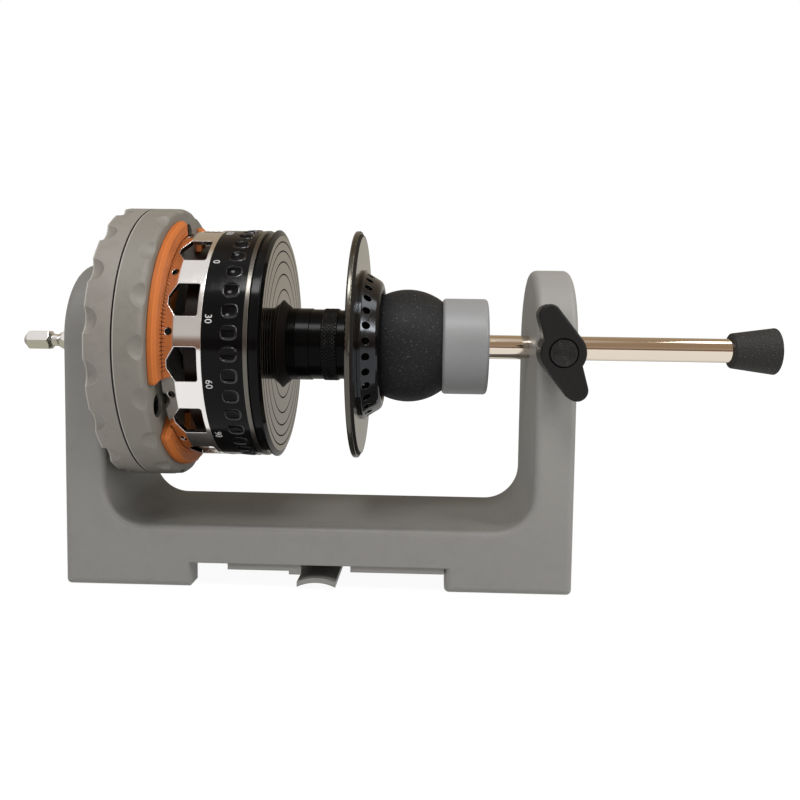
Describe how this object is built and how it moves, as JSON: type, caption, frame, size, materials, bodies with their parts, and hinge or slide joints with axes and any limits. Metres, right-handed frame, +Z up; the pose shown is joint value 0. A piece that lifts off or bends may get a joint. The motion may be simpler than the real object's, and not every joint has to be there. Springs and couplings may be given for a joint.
{
  "type": "fishing line winder",
  "caption": "Drill-driven fishing line winder: U-shaped stand, cam chuck holding a reel spool, rubber ball tailstock on a sliding shaft, wing-screw clamp.",
  "frame": {"origin": "middle of the whole winder, on the surface under its feet", "axes": "+X along the spindle from the drive head to the tail, +Z up, the wing screw faces -Y"},
  "size_m": [0.2682, 0.0942, 0.1283],
  "materials": {
    "frame_grey": "fine moulded texture, satin",
    "chuck_grey": "fine moulded texture, satin",
    "jaw_orange": "satin",
    "cup_grey": "smooth satin",
    "black_plastic": "fine moulded texture",
    "black_rubber": "grained",
    "polished_aluminium": "polished",
    "black_gloss": "gloss black anodised",
    "bright_trim": "bright turned",
    "face_metal": "polished, warm grey",
    "dark_core": "satin",
    "lip_metal": "polished, warm grey",
    "chrome_steel": "mirror chrome",
    "shank_steel": "satin",
    "bearing_steel": "ground",
    "bush_grey": "plain bearing plastic",
    "brass": "turned"
  },
  "bodies": {
    "frame": {"base_frame": "frame_grey", "rod_saddle": "frame_grey", "head_bearing_outers": "bearing_steel", "tail_bush": "bush_grey", "clamp_insert": "brass"},
    "drive_head": {"drive_shaft": "shank_steel", "shaft_clip": "bearing_steel", "head_bearing_inners": "bearing_steel", "chuck_hub": "chuck_grey", "hub_bolt": "shank_steel", "chuck_faceplate": "chuck_grey", "face_screws": "shank_steel", "spool_skirt": "polished_aluminium", "spool_band": "black_gloss", "spool_bright_ring": "bright_trim", "spool_flange": "black_gloss", "spool_face": "face_metal", "spool_core": "dark_core", "spool_arbor": "black_gloss", "spool_arbor_ring": "black_gloss", "spool_knurl": "black_gloss", "spool_lip": "lip_metal", "spool_lip_rim": "bright_trim", "spool_nose": "black_gloss"},
    "cam_ring": {"cam_ring": "chuck_grey"},
    "jaw_1": {"jaw_1": "jaw_orange"},
    "jaw_2": {"jaw_2": "jaw_orange"},
    "jaw_3": {"jaw_3": "jaw_orange"},
    "tail_shaft": {"tail_shaft": "chrome_steel", "tail_clip": "bearing_steel", "tail_bearing_inner": "bearing_steel", "end_cap": "black_rubber"},
    "ball_head": {"rubber_ball": "black_rubber", "ball_cup": "cup_grey", "cup_cover": "cup_grey", "tail_bearing_outer": "bearing_steel"},
    "clamp_pad": {"clamp_pad": "brass"},
    "wing_screw": {"wing_knob": "black_plastic", "knob_cap": "black_plastic", "clamp_stud": "shank_steel"}
  },
  "joints": [
    {"name": "drive_spin", "type": "hinge", "parent": "frame", "child": "drive_head", "pos_m": [0, 0, 0.0812], "axis": [1, 0, 0], "continuous": true},
    {"name": "cam_twist", "type": "hinge", "parent": "drive_head", "child": "cam_ring", "pos_m": [0, 0, 0.0812], "axis": [1, 0, 0], "range_deg": [0, 60]},
    {"name": "jaw_1_slide", "type": "slide", "parent": "drive_head", "child": "jaw_1", "axis": [0, 0.866, 0.5], "range_m": [0, 0.003]},
    {"name": "jaw_2_slide", "type": "slide", "parent": "drive_head", "child": "jaw_2", "axis": [0, -0.866, 0.5], "range_m": [0, 0.003]},
    {"name": "jaw_3_slide", "type": "slide", "parent": "drive_head", "child": "jaw_3", "axis": [0, 0, -1], "range_m": [0, 0.003]},
    {"name": "tail_slide", "type": "slide", "parent": "frame", "child": "tail_shaft", "axis": [1, 0, 0], "range_m": [0, 0.014]},
    {"name": "ball_spin", "type": "hinge", "parent": "tail_shaft", "child": "ball_head", "pos_m": [0, 0, 0.0812], "axis": [1, 0, 0], "continuous": true},
    {"name": "clamp_travel", "type": "slide", "parent": "frame", "child": "clamp_pad", "axis": [0, -1, 0], "range_m": [0, 0.001]},
    {"name": "wing_turn", "type": "hinge", "parent": "clamp_pad", "child": "wing_screw", "pos_m": [0.05395, 0, 0.0812], "axis": [0, -1, 0], "range_deg": [0, 360]}
  ],
  "couplings": [
    {"joint": "jaw_1_slide", "follows": "cam_twist", "m_per_rad": 0.0028647},
    {"joint": "jaw_2_slide", "follows": "cam_twist", "m_per_rad": 0.0028647},
    {"joint": "jaw_3_slide", "follows": "cam_twist", "m_per_rad": 0.0028647},
    {"joint": "ball_spin", "follows": "drive_spin", "ratio": 1},
    {"joint": "clamp_travel", "follows": "wing_turn", "m_per_rad": 0.000159}
  ]
}
